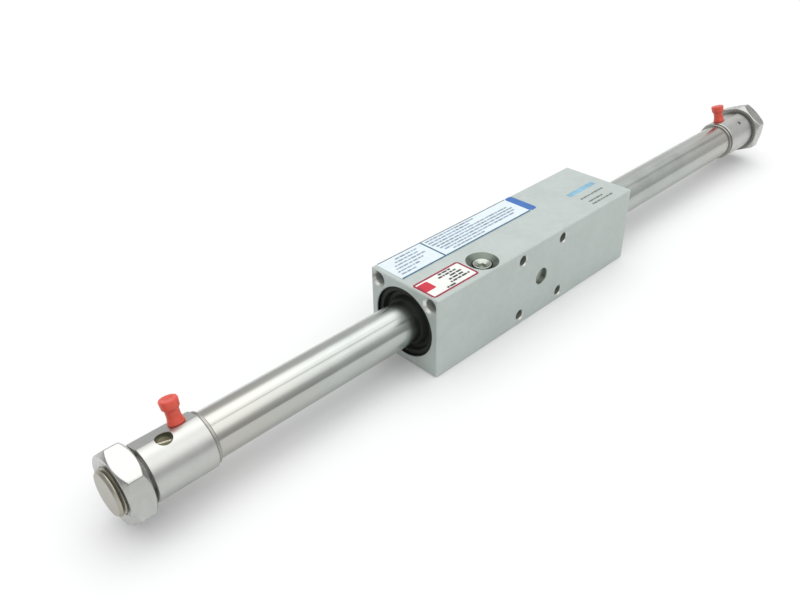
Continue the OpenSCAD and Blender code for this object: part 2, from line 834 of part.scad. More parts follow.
// Lipped seal, open towards the pressure side
module piston_seal() {
  turned([
    [seal_core_r, seal_from + groove_play], [slide_r, seal_from + groove_play],
    [slide_r, seal_to - groove_play], [slide_r - 0.5, seal_to - groove_play],
    [(seal_core_r + slide_r) / 2, (seal_from + seal_to) / 2],
    [seal_core_r + 0.5, seal_to - groove_play], [seal_core_r, seal_to - groove_play]
  ]);
}

module piston_seal_near() {
  color([0.1, 0.1, 0.1]) near_side() piston_seal();
}

module piston_seal_far() {
  color([0.1, 0.1, 0.1]) at_carriage() piston_seal();
}

module piston_guide() {
  ring(guide_from + groove_play, guide_to - groove_play, guide_core_r, slide_r);
}

module piston_guide_near() {
  color([0.3, 0.26, 0.2]) near_side() piston_guide();
}

module piston_guide_far() {
  color([0.3, 0.26, 0.2]) at_carriage() piston_guide();
}

module buffer() {
  ring(disc_to, piston_x, cushion_r, buffer_d / 2);
}

module buffer_near() {
  color([0.15, 0.15, 0.15]) near_side() buffer();
}

module buffer_far() {
  color([0.15, 0.15, 0.15]) at_carriage() buffer();
}

// Cushion spigot: a flange in the disc, a boss through the buffer and a tapered nose
module cushion_spigot() {
  nose_x = piston_x + cushion_l;
  turned([
    [spindle_r, disc_to - spigot_flange_t], [spigot_flange_r, disc_to - spigot_flange_t],
    [spigot_flange_r, disc_to], [cushion_r, disc_to], [cushion_r, nose_x - cushion_l / 4],
    [cushion_r - cushion_l / 16, nose_x], [0, nose_x], [0, spindle_x], [spindle_r, spindle_x]
  ]);
}

module cushion_spigot_near() {
  color([0.8, 0.74, 0.5]) near_side() cushion_spigot();
}

module cushion_spigot_far() {
  color([0.8, 0.74, 0.5]) at_carriage() cushion_spigot();
}

barrel_tube();
end_cap_near();
end_cap_far();
tube_collar_near();
tube_collar_far();
tube_seal_near();
tube_seal_far();
cushion_seal_near();
cushion_seal_far();
blanking_ball_near();
blanking_ball_far();
mounting_nut_near();
mounting_nut_far();
port_plug_near();
port_plug_far();
cushion_screw_near();
cushion_screw_far();
screw_seal_near();
screw_seal_far();
carriage_housing();
lock_screw();
wiper_near();
wiper_far();
bearing_near();
bearing_far();
outer_spacer_near();
outer_spacer_far();
outer_magnets();
outer_pole_plates();
wide_label();
small_label();
piston_spindle();
inner_magnets();
inner_pole_plates();
inner_spacer_near();
inner_spacer_far();
piston_disc_near();
piston_disc_far();
piston_seal_near();
piston_seal_far();
piston_guide_near();
piston_guide_far();
buffer_near();
buffer_far();
cushion_spigot_near();
cushion_spigot_far();
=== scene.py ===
"""Looks of a rodless pneumatic cylinder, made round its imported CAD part.

Lengths are in metres, X runs along the barrel, Z is up and the carriage stands
on Z = 0. CAD nodes whose shape is right keep their mesh and get a finish. The
nuts, port plugs, lock screw, wipers and labels are surfaces worked out with
numpy.
"""

import json
import logging
import math
from dataclasses import dataclass, field
from enum import Enum

import bmesh
import bpy
import numpy as np
from mathutils import Matrix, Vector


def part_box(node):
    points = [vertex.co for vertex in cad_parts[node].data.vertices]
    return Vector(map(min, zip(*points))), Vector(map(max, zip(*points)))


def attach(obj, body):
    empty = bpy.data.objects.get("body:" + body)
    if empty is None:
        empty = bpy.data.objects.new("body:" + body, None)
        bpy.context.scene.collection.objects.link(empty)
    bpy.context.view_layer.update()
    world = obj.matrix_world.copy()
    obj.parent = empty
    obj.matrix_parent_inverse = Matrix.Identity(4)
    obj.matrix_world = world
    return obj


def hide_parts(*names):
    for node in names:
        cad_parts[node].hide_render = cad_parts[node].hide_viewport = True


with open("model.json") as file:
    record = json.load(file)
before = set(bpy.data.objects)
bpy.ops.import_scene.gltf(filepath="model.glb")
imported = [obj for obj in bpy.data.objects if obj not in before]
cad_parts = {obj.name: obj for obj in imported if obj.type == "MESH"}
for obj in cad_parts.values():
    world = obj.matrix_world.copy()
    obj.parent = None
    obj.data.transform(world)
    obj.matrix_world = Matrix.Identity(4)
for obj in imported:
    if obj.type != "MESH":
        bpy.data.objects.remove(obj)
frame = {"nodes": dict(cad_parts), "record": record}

LOG = logging.getLogger("cylinder")
MM = 0.001
AXIS_HEIGHT = 17.5 * MM
Array = np.ndarray
Triple = tuple[float, float, float]
Colour = Triple
Socket = bpy.types.NodeSocket
Value = Socket | float


class End(Enum):
    """The two ends of the cylinder, with the side of the origin that each is on."""

    NEAR = -1
    FAR = 1

    @property
    def word(self) -> str:
        """The end's name as the nodes and bodies spell it."""
        return self.name.lower()


class Grain(Enum):
    """How the fine marks of a finish run, as the pattern's scale along X, Y and Z."""

    ALONG = (18.0, 900.0, 900.0)
    ROUND = (3200.0, 40.0, 40.0)
    CLOUDY = (320.0, 320.0, 320.0)


# ---- Meshes ----


def rounded(corners: Array, radii: Array, steps: int = 5) -> Array:
    """Rounds the corners of a closed profile.

    Each corner P with neighbours A and B becomes an arc that touches both sides
    at the distance d = radius * tan(turn / 2) from P, where turn is the change
    of direction there. Its points are P's two touching points blended along the
    circle round the centre P + (radius / cos(turn / 2)) * bisector.

    Args:
        corners: The profile's corners, one row each.
        radii: The arc's radius at each corner, 0 to keep the corner sharp.
        steps: How many pieces each arc has.

    Returns:
        The rounded profile's points, one row each.
    """
    before = np.roll(corners, 1, axis=0) - corners
    after = np.roll(corners, -1, axis=0) - corners
    before /= np.linalg.norm(before, axis=1, keepdims=True)
    after /= np.linalg.norm(after, axis=1, keepdims=True)
    half = np.arccos(np.clip((before * after).sum(1), -1, 1)) / 2
    bisector = before + after
    bisector /= np.maximum(np.linalg.norm(bisector, axis=1, keepdims=True), 1e-12)
    centres = corners + bisector * (radii / np.sin(half))[:, None]
    start = corners + before * (radii / np.tan(half))[:, None] - centres
    end = corners + after * (radii / np.tan(half))[:, None] - centres
    share = np.linspace(0, 1, steps + 1)[None, :, None]
    sweep = (np.pi - 2 * half)[:, None, None]
    arcs = (
        np.sin((1 - share) * sweep) * start[:, None] + np.sin(share * sweep) * end[:, None]
    ) / np.sin(sweep)
    points = centres[:, None] + arcs
    kept = [points[i] if radii[i] > 0 else corners[i : i + 1] for i in range(len(corners))]
    return np.concatenate(kept)


def grid_faces(rows: int, columns: int) -> Array:
    """Four-sided faces of a grid that closes on itself both ways.

    Args:
        rows: Number of rows of points.
        columns: Number of points in each row.

    Returns:
        One row of four vertex numbers for each face.
    """
    r, c = np.meshgrid(np.arange(rows), np.arange(columns), indexing="ij")
    down, right = (r + 1) % rows, (c + 1) % columns
    corners = (r * columns + c, r * columns + right, down * columns + right, down * columns + c)
    return np.stack(corners, axis=-1).reshape(-1, 4)


def solid(name: str, grids: list[Array], crease: float = 40.0) -> bpy.types.Object:
    """Makes a closed solid, or several in one piece, from grids of points.

    Each grid closes on itself both ways, points that coincide are merged, so
    that a row on the axis becomes a pole, and the faces point outwards.

    Args:
        name: The piece's name.
        grids: Points as rows x columns x 3 each, in the row frame.
        crease: Angle in degrees above which an edge stays sharp.

    Returns:
        The new mesh object, at the origin.
    """
    points = np.concatenate([grid.reshape(-1, 3) for grid in grids])
    shapes = [grid.shape[:2] for grid in grids]
    starts = np.cumsum([0] + [rows * columns for rows, columns in shapes[:-1]])
    faces = np.concatenate([grid_faces(*shape) + start for shape, start in zip(shapes, starts)])
    mesh = bpy.data.meshes.new(name)
    mesh.from_pydata(points.tolist(), [], faces.tolist())
    shell = bmesh.new()
    shell.from_mesh(mesh)
    bmesh.ops.remove_doubles(shell, verts=shell.verts, dist=1e-7)
    bmesh.ops.dissolve_degenerate(shell, edges=shell.edges, dist=1e-8)
    if shell.calc_volume(signed=True) < 0:
        bmesh.ops.reverse_faces(shell, faces=shell.faces)
    shell.to_mesh(mesh)
    shell.free()
    mesh.shade_smooth()
    mesh.set_sharp_from_angle(angle=math.radians(crease))
    piece = bpy.data.objects.new(name, mesh)
    bpy.context.scene.collection.objects.link(piece)
    return piece


@dataclass(frozen=True)
class Axes:
    """A place and three directions that a local shape is set into."""

    origin: Array
    across: Array
    side: Array
    along: Array

    @classmethod
    def barrel(cls, height: float) -> "Axes":
        """The barrel's axis: along is X, and angles start at Z and go towards +Y."""
        return cls(
            np.array([0, 0, height]), np.array([0, 0, 1.0]), np.array([0, 1.0, 0]),
            np.array([1.0, 0, 0]),
        )

    @classmethod
    def square_to_barrel(cls, origin: Array, direction: Array) -> "Axes":
        """An axis that leaves the barrel squarely: angles start at X."""
        along = direction / np.linalg.norm(direction)
        across = np.array([1.0, 0, 0])
        return cls(origin, across, np.cross(along, across), along)

    def turned(self, radius: Array, angle: Array, place: Array) -> Array:
        """Points at place along the axis, radius from it, and angle round it."""
        return (
            self.origin
            + (radius * np.cos(angle))[..., None] * self.across
            + (radius * np.sin(angle))[..., None] * self.side
            + place[..., None] * self.along
        )


def around(columns: int) -> Array:
    """Angles evenly spaced over a whole turn."""
    return np.linspace(0, 2 * np.pi, columns, endpoint=False)


def lathe(axes: Axes, profile: Array, columns: int) -> Array:
    """Grid of a profile turned about an axis.

    Row i, column j is the profile's point i, [radius, place], carried round by
    the angle 2 pi j / columns.

    Args:
        axes: The axis that the profile turns about.
        profile: Closed profile of [radius, place] rows.
        columns: Number of points round the axis.

    Returns:
        Points as rows x columns x 3.
    """
    angle = around(columns)[None, :]
    radius = np.repeat(profile[:, :1], columns, axis=1)
    place = np.repeat(profile[:, 1:], columns, axis=1)
    return axes.turned(radius, np.repeat(angle, len(profile), axis=0), place)


def layers(rows: list[tuple[Array, float]]) -> Array:
    """Grid of flat outlines, each at its own height."""
    return np.array([np.column_stack([flat, np.full(len(flat), z)]) for flat, z in rows])


def smooth_least(a: Array, b: Array, width: float) -> Array:
    """The lesser of two lengths, with the change from one to the other rounded.

    It is the mean less half the root of (a - b) squared plus width squared.
    """
    return (a + b - np.sqrt((a - b) ** 2 + width**2)) / 2


# ---- Finishes ----


class Nodes:
    """A tree of nodes, with the kinds of node that every pattern here is made of."""

    def __init__(self, tree: bpy.types.NodeTree) -> None:
        """Adds to the given tree."""
        self.tree = tree

    def node(self, kind: str, inputs: dict | None = None, **settings: str) -> bpy.types.Node:
        """Adds a node.

        Args:
            kind: Blender's name of the node type.
            inputs: Values or sockets for the node's inputs, by name or number.
            **settings: The node's own settings.

        Returns:
            The new node.
        """
        made = self.tree.nodes.new(kind)
        for key, value in settings.items():
            setattr(made, key, value)
        for key, value in (inputs or {}).items():
            if isinstance(value, Socket):
                self.tree.links.new(value, made.inputs[key])
            else:
                made.inputs[key].default_value = value
        return made

    def remap(self, value: Value, low: float, high: float, to_low: float, to_high: float) -> Socket:
        """Maps value's range low..high onto to_low..to_high, held at both ends."""
        return self.node("ShaderNodeMapRange", {
            "Value": value, "From Min": low, "From Max": high, "To Min": to_low, "To Max": to_high,
        }, interpolation_type="SMOOTHSTEP").outputs[0]

    def math(self, operation: str, a: Value, b: Value = 0.0, c: Value = 0.0) -> Socket:
        """One sum of a Math node."""
        return self.node("ShaderNodeMath", {0: a, 1: b, 2: c}, operation=operation).outputs[0]


class Graph(Nodes):
    """The nodes of one material, built round its Principled shader."""

    def __init__(self, name: str) -> None:
        """Starts a material of that name, with its pattern read on Object coordinates."""
        self.material = bpy.data.materials.new(name)
        self.material.use_nodes = True
        super().__init__(self.material.node_tree)
        self.shader = self.tree.nodes["Principled BSDF"]
        self.place = self.node("ShaderNodeTexCoord").outputs["Object"]

    def set(self, **values: float | Colour) -> None:
        """Sets values that are the same all over the surface on the shader's sockets."""
        for key, value in values.items():
            socket = self.shader.inputs[key.replace("_", " ")]
            socket.default_value = (*value, 1.0) if socket.type == "RGBA" else value

    def feed(self, socket: str, value: Socket) -> None:
        """Links a pattern to one of the shader's sockets."""
        self.tree.links.new(value, self.shader.inputs[socket])

    def noise(self, scale: Triple, detail: float = 3.0, rough: float = 0.55) -> Socket:
        """Noise of 0 to 1 whose grain per metre is scale along X, Y and Z."""
        stretched = self.node("ShaderNodeMapping", {"Vector": self.place, "Scale": scale})
        return self.node("ShaderNodeTexNoise", {
            "Vector": stretched.outputs[0], "Scale": 1.0, "Detail": detail, "Roughness": rough,
        }).outputs[0]

    def mix(self, factor: Value, a: Socket | Colour, b: Socket | Colour) -> Socket:
        """Colour a where factor is 0 and b where it is 1."""
        made = self.node("ShaderNodeMix", data_type="RGBA")
        for socket, value in zip((made.inputs[0], made.inputs[6], made.inputs[7]), (factor, a, b)):
            if isinstance(value, Socket):
                self.tree.links.new(value, socket)
            else:
                socket.default_value = (*value, 1.0) if isinstance(value, tuple) else value
        return made.outputs[2]

    def parts(self) -> tuple[Socket, Socket, Socket]:
        """The place's X, Y and Z."""
        return tuple(self.node("ShaderNodeSeparateXYZ", {0: self.place}).outputs)

    def distance(self, *pairs: tuple[Socket, float]) -> Socket:
        """Root of the sum of the squares of each coordinate less its centre."""
        total = None
        for coordinate, centre in pairs:
            off = self.math("SUBTRACT", coordinate, float(centre))
            total = self.math("MULTIPLY_ADD", off, off, total or 0.0)
        return self.math("SQRT", total)

    def from_barrel(self) -> Socket:
        """Distance from the barrel's axis."""
        _, y, z = self.parts()
        return self.distance((y, 0.0), (z, AXIS_HEIGHT))

    def size(self, value: Value, centre: float = 0.0) -> Socket:
        """How far a value is from a centre, without its sign."""
        return self.math("ABSOLUTE", self.math("SUBTRACT", value, float(centre)))

    def within(self, value: Value, limit: float, blur: float = 0.05 * MM) -> Socket:
        """1 where a value is under the limit and 0 where it is over it."""
        return self.remap(value, limit - blur, limit + blur, 1.0, 0.0)

    def beyond(self, value: Value, limit: float, blur: float = 0.05 * MM) -> Socket:
        """1 where a value is over the limit and 0 where it is under it."""
        return self.remap(value, limit - blur, limit + blur, 0.0, 1.0)

    def all_of(self, *masks: Socket) -> Socket:
        """Product of masks: 1 only where each of them is 1."""
        total = masks[0]
        for mask in masks[1:]:
            total = self.math("MULTIPLY", total, mask)
        return total

    def bump(self, height: Value, depth: float) -> None:
        """Raises the surface by height (0 to 1) times depth in metres."""
        inputs = {"Height": height, "Distance": depth, "Strength": 1.0}
        self.feed("Normal", self.node("ShaderNodeBump", inputs).outputs[0])


def shades(colour: Colour, less: float, more: float) -> tuple[Colour, Colour]:
    """A colour darkened by one share and lightened by another."""
    return tuple(c * (1 - less) for c in colour), tuple(min(1.0, c * (1 + more)) for c in colour)


@dataclass(frozen=True)
class Metal:
    """Bare, ground or plated metal with fine marks and a faint mottle."""

    name: str
    colour: Colour
    rough: float
    grain: Grain = Grain.CLOUDY
    grain_depth: float = 0.002
    mottle: float = 0.06
    rough_spread: float = 0.06

    def material(self) -> bpy.types.Material:
        """Makes the finish's material."""
        g = Graph(self.name)
        marks = g.noise(self.grain.value, 4.0)
        cloud = g.noise(tuple(s * 0.12 + 25.0 for s in Grain.CLOUDY.value), 4.0, 0.6)
        dark, light = shades(self.colour, self.mottle, self.mottle / 2)
        mixed = g.math("MULTIPLY_ADD", marks, 0.4, g.math("MULTIPLY", cloud, 0.6))
        spread = self.rough_spread
        rough = g.remap(mixed, 0.3, 0.7, self.rough - spread, self.rough + spread)
        skin = g.mix(g.remap(mixed, 0.35, 0.65, 0.0, 1.0), dark, light)
        self.finish(g, skin, rough)
        g.bump(marks, self.grain_depth * MM)
        return g.material

    def finish(self, g: Graph, skin: Socket, rough: Socket) -> None:
        """Feeds the colour and roughness to the shader: the same all over on plain metal.

        Args:
            g: The material's graph.
            skin: The mottled colour.
            rough: The roughness.
        """
        g.feed("Base Color", skin)
        g.feed("Roughness", rough)
        g.set(Metallic=1.0)


@dataclass(frozen=True)
class BarrelSteel(Metal):
    """The barrel's steel, ground round its girth, so that it blurs what it mirrors lengthways."""

    ends: Colour = (0.47, 0.465, 0.43)
    warming: tuple[float, float] = (105 * MM, 165 * MM)
    blur: float = 0.8

    def finish(self, g: Graph, skin: Socket, rough: Socket) -> None:
        """Warms the barrel's ends and stretches the roughness along it."""
        x, _, _ = g.parts()
        warm = g.remap(g.size(x), *self.warming, 0.0, 1.0)
        super().finish(g, g.mix(warm, skin, self.ends), rough)
        g.feed("Tangent", g.node("ShaderNodeCombineXYZ", {"X": 1.0}).outputs[0])
        g.set(Anisotropic=self.blur)


@dataclass(frozen=True)
class CapMetal(Metal):
    """A cap's satin metal, painted shade in its holes, and a dark thread past its relief, painted
    darker in its grooves.
    """

    # Painted shade: the dark colour laid into the cap's holes.
    hole: Colour = (0.17, 0.165, 0.13)
    crest: Colour = (0.43, 0.41, 0.35)
    # Painted shade: darker than the crest, for the thread's grooves.
    groove: Colour = (0.36, 0.345, 0.285)
    stub: Colour = (0.39, 0.375, 0.33)
    skin_radius: float = 9.3 * MM
    body_end: float = 188.0 * MM
    thread_start: float = 190.5 * MM
    thread_end: float = 200.3 * MM
    groove_radius: float = 7.75 * MM

    def finish(self, g: Graph, skin: Socket, rough: Socket) -> None:
        """Paints shade into what lies under the cap's skin, and darkens the thread, with painted
        shade deepest in its grooves.
        """
        x, _, _ = g.parts()
        radius, out = g.from_barrel(), g.size(x)
        sunk = g.all_of(g.within(radius, self.skin_radius, 0.1 * MM), g.within(out, self.body_end))
        # Painted shade: what lies under the skin takes the dark colour of the holes.
        skin = g.mix(sunk, skin, self.hole)
        # Painted shade: the thread darkens further inside its grooves.
        thread = g.mix(g.within(radius, self.groove_radius, 0.15 * MM), self.crest, self.groove)
        thread = g.mix(g.beyond(out, self.thread_end, 0.2 * MM), thread, self.stub)
        super().finish(g, g.mix(g.beyond(out, self.thread_start, 0.1 * MM), skin, thread), rough)


@dataclass(frozen=True)
class ScrewBrass(Metal):
    """A cushion screw's brass, dark on its head, with a highlight painted in its slot."""

    # Painted highlight: a near-white colour in the slot, below the head's top.
    bright: Colour = (0.85, 0.84, 0.76)
    top_radius: float = 8.2 * MM

    def finish(self, g: Graph, skin: Socket, rough: Socket) -> None:
        """Paints a highlight on what lies below the head's top."""
        sunk = g.within(g.from_barrel(), self.top_radius, 0.1 * MM)
        super().finish(g, g.mix(sunk, skin, self.bright), rough)


@dataclass(frozen=True)
class NutPlating(Metal):
    """A nut's dull plating, with shade painted dark and matt on the face next to its cap."""

    # Painted shade for the face in the gap between nut and cap.
    dusty: Colour = (0.27, 0.27, 0.25)
    metallic: float = 0.3
    depth: float = 0.1 * MM

    def finish(self, g: Graph, skin: Socket, rough: Socket) -> None:
        """Paints shade, dark and less metallic, on the inner faces of both nuts."""
        x, _, _ = g.parts()
        inner = g.within(g.size(x), box_array("mounting_nut_far")[0, 0] + self.depth)
        # Painted shade: the inner faces take the dark gap colour.
        super().finish(g, g.mix(inner, skin, self.dusty), rough)
        g.feed("Metallic", g.remap(inner, 0.0, 1.0, 1.0, self.metallic))


@dataclass(frozen=True)
class HousingSkin(Metal):
    """The carriage's matt clear skin, with bare metal where it was machined later,
    painted shade in its hollows and a painted highlight along its long edges.

    The skin is partly metallic. The bore, the screw's dished seat, the centring
    bore and the tapped holes are found by their distance from their own axes.
    The bore, the seat, the centring bore and the side holes are coloured darker
    than the skin as painted shade. A painted highlight, lighter than the skin,
    starts where the distances across and up from the barrel's axis add up to a
    set distance, which is just inside the long edges.
    """

    sheen: float = 0.3
    bare_rough: float = 0.3
    # Painted highlight: a lighter colour along the long edges.
    worn: Colour = (0.5, 0.55, 0.53)
    # Painted shade: near-black for the carriage's bore.
    bore: Colour = (0.045, 0.047, 0.045)
    # Painted shade: the screw's dished seat is bare metal coloured darker than the skin.
    dish: Colour = (0.15, 0.175, 0.15)
    # Painted shade: the centring bore is bare metal coloured darker than the skin.
    locating: Colour = (0.27, 0.29, 0.26)
    lip: Colour = (0.62, 0.63, 0.60)
    # Painted shade: a darker colour inside the side holes.
    hole: Colour = (0.25, 0.27, 0.235)
    end_well: Colour = (0.44, 0.455, 0.43)
    half_length: float = 63.3 * MM
    face: float = 17.5 * MM
    below_skin: float = 0.06 * MM
    worn_from: float = 34.55 * MM
    top_zone: float = 30 * MM
    side_zone: float = 11 * MM
    end_zone: float = 50 * MM
    dish_radius: float = 6.9 * MM
    bore_radius: float = 14.75 * MM
    locating_radius: float = 3.7 * MM
    end_hole: tuple[float, float] = (13.6 * MM, 3.5 * MM)
    side_hole: Triple = (13.2 * MM, 13.0 * MM, 2.75 * MM)
    end_lip: float = 0.95 * MM
    side_lip: float = 0.7 * MM

    def finish(self, g: Graph, skin: Socket, rough: Socket) -> None:
        """Lays the painted edge highlight, the bare places and the painted shade in the hollows
        over the skin.
        """
        x, y, z = g.parts()
        middle = box_array("carriage_housing").mean(0)
        lock = box_array("lock_screw").mean(0)
        across, side = g.size(x, middle[0]), g.size(y)
        level = g.size(z, AXIS_HEIGHT)
        # Painted highlight: a band just inside the long edges, mixed in at half strength.
        worn = g.beyond(g.math("ADD", side, level), self.worn_from, 0.25 * MM)
        edge = g.math("MULTIPLY", worn, 0.5)
        # Painted shade: the screw's dished seat, bare metal coloured darker.
        dish = g.all_of(
            g.within(g.distance((x, lock[0]), (y, lock[1])), self.dish_radius),
            g.beyond(z, self.top_zone), g.within(level, self.face - self.below_skin, 0.03 * MM),
        )
        in_side = g.all_of(
            g.within(y, -self.side_zone), g.beyond(y, self.below_skin - self.face, 0.03 * MM),
        )
        # Painted shade: the centring bore, bare metal coloured darker.
        locating = g.all_of(
            in_side, g.within(g.distance((x, middle[0]), (z, AXIS_HEIGHT)), self.locating_radius),
        )
        out, up, radius = self.side_hole
        side_hole = g.all_of(in_side, g.within(g.distance((across, out), (level, up)), radius))
        side_lip = g.all_of(side_hole, g.within(y, self.side_lip - self.face))
        out, radius = self.end_hole
        end_hole = g.all_of(
            g.within(g.distance((side, out), (level, out)), radius),
            g.beyond(across, self.end_zone),
            g.within(across, self.half_length - self.below_skin, 0.03 * MM),
        )
        end_lip = g.all_of(end_hole, g.beyond(across, self.half_length - self.end_lip))
        # Painted shade: the bore is coloured near-black.
        bore = g.within(g.from_barrel(), self.bore_radius, 0.1 * MM)
        colour = g.mix(edge, skin, self.worn)
        # Painted shade: the side holes are coloured darker than the skin; the end holes keep a
        # colour close to it.
        for mask, shade in ((side_hole, self.hole), (end_hole, self.end_well)):
            colour = g.mix(mask, colour, shade)
        bare = bore
        for mask, shade in (
            (dish, self.dish), (locating, self.locating), (side_lip, self.lip), (end_lip, self.lip),
            (bore, self.bore),
        ):
            colour = g.mix(mask, colour, shade)
            bare = g.math("MAXIMUM", bare, mask)
        g.feed("Base Color", colour)
        g.feed("Metallic", g.remap(bare, 0.0, 1.0, self.sheen, 1.0))
        kept = g.math("MULTIPLY", rough, g.math("SUBTRACT", 1.0, bare))
        g.feed("Roughness", g.math("MULTIPLY_ADD", bare, self.bare_rough, kept))


@dataclass(frozen=True)
class Plastic:
    """Moulded plastic, soft rubber or film: coloured, faintly uneven, not metal."""

    name: str
    colour: Colour
    rough: float
    mottle: float = 0.08
    grain: float = 2400.0
    grain_depth: float = 0.004
    glow: float = 0.0
    shine: float = 0.5

    def material(self) -> bpy.types.Material:
        """Makes the finish's material."""
        g = Graph(self.name)
        pores = g.noise((self.grain,) * 3, 3.0)
        cloud = g.noise((260.0,) * 3, 3.0)
        dark, light = shades(self.colour, self.mottle, self.mottle)
        g.feed("Base Color", g.mix(g.remap(cloud, 0.3, 0.7, 0.0, 1.0), dark, light))
        g.feed("Roughness", g.remap(pores, 0.3, 0.7, self.rough - 0.06, self.rough + 0.06))
        g.set(Specular_IOR_Level=self.shine)
        if self.glow:
            g.set(Subsurface_Weight=self.glow, Subsurface_Scale=0.6 * MM)
            g.set(Subsurface_Radius=(1.0, 0.25, 0.15))
        g.bump(pores, self.grain_depth * MM)
        return g.material


FINISHES = {
    "barrel_steel": BarrelSteel(
        "ground_stainless", (0.45, 0.475, 0.455), 0.195, Grain.ALONG, 0.0006, 0.08, 0.025
    ),
    "cap_metal": CapMetal(
        "turned_aluminium", (0.51, 0.515, 0.495), 0.36, mottle=0.05, rough_spread=0.04
    ),
    "collar_metal": Metal(
        "turned_collar", (0.36, 0.355, 0.325), 0.36, Grain.ROUND, 0.001, 0.08, 0.04
    ),
    "seal_rubber": Plastic("nitrile_seal", (0.02, 0.02, 0.02), 0.5),
    # Painted shade: the blanking ball is coloured dark for the shade of its seat in the cap; the
    # spindle inside the barrel shares this colour.
    "ball_steel": Metal("pressed_ball", (0.14, 0.14, 0.13), 0.2),
    "nut_plating": NutPlating(
        "dull_plating", (0.475, 0.48, 0.46), 0.26, Grain.CLOUDY, 0.0025, 0.1, 0.05
    ),
    "plug_plastic": Plastic("red_plug", (0.63, 0.07, 0.04), 0.38, 0.08, glow=0.08, shine=0.6),
    "needle_brass": ScrewBrass("oiled_brass", (0.12, 0.118, 0.075), 0.35, Grain.ROUND, 0.001, 0.1),
    "carriage_anodised": HousingSkin(
        "clear_anodising", (0.45, 0.50, 0.478), 0.5, grain_depth=0.004, rough_spread=0.05
    ),
    "screw_steel": Metal("lock_screw_steel", (0.40, 0.43, 0.385), 0.22, grain_depth=0.001),
    "wiper_rubber": Plastic("wiper_rubber", (0.011, 0.014, 0.011), 0.55, shine=0.25),
    "bearing_plastic": Plastic("bearing_bronze_filled", (0.09, 0.06, 0.035), 0.5),
    "spacer_aluminium": Metal("spacer_aluminium", (0.7, 0.7, 0.7), 0.35, Grain.ROUND),
    "magnet_nickel": Metal("magnet_nickel", (0.6, 0.58, 0.54), 0.25),
    "pole_iron": Metal("pole_iron", (0.45, 0.45, 0.46), 0.4),
    "spigot_brass": Metal("spigot_brass", (0.72, 0.56, 0.26), 0.28, Grain.ROUND),
    "label_film": Plastic("white_film", (0.635, 0.715, 0.745), 0.36, 0.02, 1500.0, 0.003),
    "tag_film": Plastic("white_tag_film", (0.73, 0.745, 0.715), 0.36, 0.02, 1500.0, 0.003),
    "blue_ink": Plastic("blue_ink", (0.04, 0.14, 0.41), 0.5, 0.06, shine=0.3),
    "teal_ink": Plastic("teal_ink", (0.045, 0.12, 0.19), 0.5, 0.1, shine=0.3),
    "slate_ink": Plastic("slate_ink", (0.09, 0.13, 0.15), 0.5, 0.1, shine=0.3),
    "crimson_ink": Plastic("crimson_ink", (0.27, 0.028, 0.055), 0.5, 0.06, shine=0.3),
    "red_ink": Plastic("red_ink", (0.50, 0.025, 0.045), 0.5, 0.06, shine=0.3),
    "grey_blue_ink": Plastic("grey_blue_ink", (0.215, 0.27, 0.365), 0.5, 0.3, 5000.0),
    "dark_ink": Plastic("dark_ink", (0.035, 0.04, 0.035), 0.5, 0.3, 5000.0),
    "pale_blue_ink": Plastic("pale_blue_ink", (0.19, 0.38, 0.50), 0.5, 0.15, 5000.0),
    "faded_ink": Plastic("faded_ink", (0.12, 0.135, 0.12), 0.5, 0.3, 5000.0),
}

NODE_SLOTS = {
    "barrel_tube": "barrel_steel", "end_cap": "cap_metal", "tube_collar": "collar_metal",
    "tube_seal": "seal_rubber", "cushion_seal": "seal_rubber", "blanking_ball": "ball_steel",
    "mounting_nut": "nut_plating", "port_plug": "plug_plastic", "cushion_screw": "needle_brass",
    "screw_seal": "seal_rubber", "carriage_housing": "carriage_anodised",
    "lock_screw": "screw_steel", "wiper": "wiper_rubber", "bearing": "bearing_plastic",
    "outer_spacer": "spacer_aluminium", "outer_magnets": "magnet_nickel",
    "outer_pole_plates": "pole_iron", "wide_label": "label_film", "small_label": "tag_film",
    "piston_spindle": "ball_steel", "inner_magnets": "magnet_nickel",
    "inner_pole_plates": "pole_iron", "inner_spacer": "spacer_aluminium",
    "piston_disc": "spacer_aluminium", "piston_seal": "seal_rubber",
    "piston_guide": "bearing_plastic", "buffer": "seal_rubber", "cushion_spigot": "spigot_brass",
}


class Wardrobe:
    """Makes each finish once and dresses pieces in it."""

    def __init__(self) -> None:
        """Starts with no material made."""
        self.made: dict[str, bpy.types.Material] = {}

    def dress(self, piece: bpy.types.Object, finish: str) -> None:
        """Gives a piece one finish as its only material.

        Args:
            piece: The object to dress.
            finish: A key of FINISHES.
        """
        if finish not in self.made:
            self.made[finish] = FINISHES[finish].material()
        piece.data.materials.clear()
        piece.data.materials.append(self.made[finish])

    def dress_nodes(self) -> None:
        """Dresses every CAD node in its slot's finish."""
        for name, node in frame["nodes"].items():
            stem = name.removesuffix("_near").removesuffix("_far")
            self.dress(node, NODE_SLOTS[stem])
            LOG.info("dressed node %s", name)


def join_object(
    piece: bpy.types.Object, body: str, nodes: tuple[str, ...] = ()
) -> None:
    """Makes a new piece part of the object.

    Args:
        piece: The finished piece.
        body: The CAD body that it rides on.
        nodes: The CAD nodes that it stands for.
    """
    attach(piece, body)
    if nodes:
        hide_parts(*nodes)
    LOG.info("piece %s rides on %s", piece.name, body)


def mount(name: str) -> dict:
    """The record's mount of that name."""
    return next(m for m in frame["record"]["mounts"] if m["name"] == name)


def box_array(node: str) -> Array:
    """A node's lowest and highest corner as two rows."""
    return np.array([tuple(corner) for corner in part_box(node)])


# ---- Sub-assemblies ----


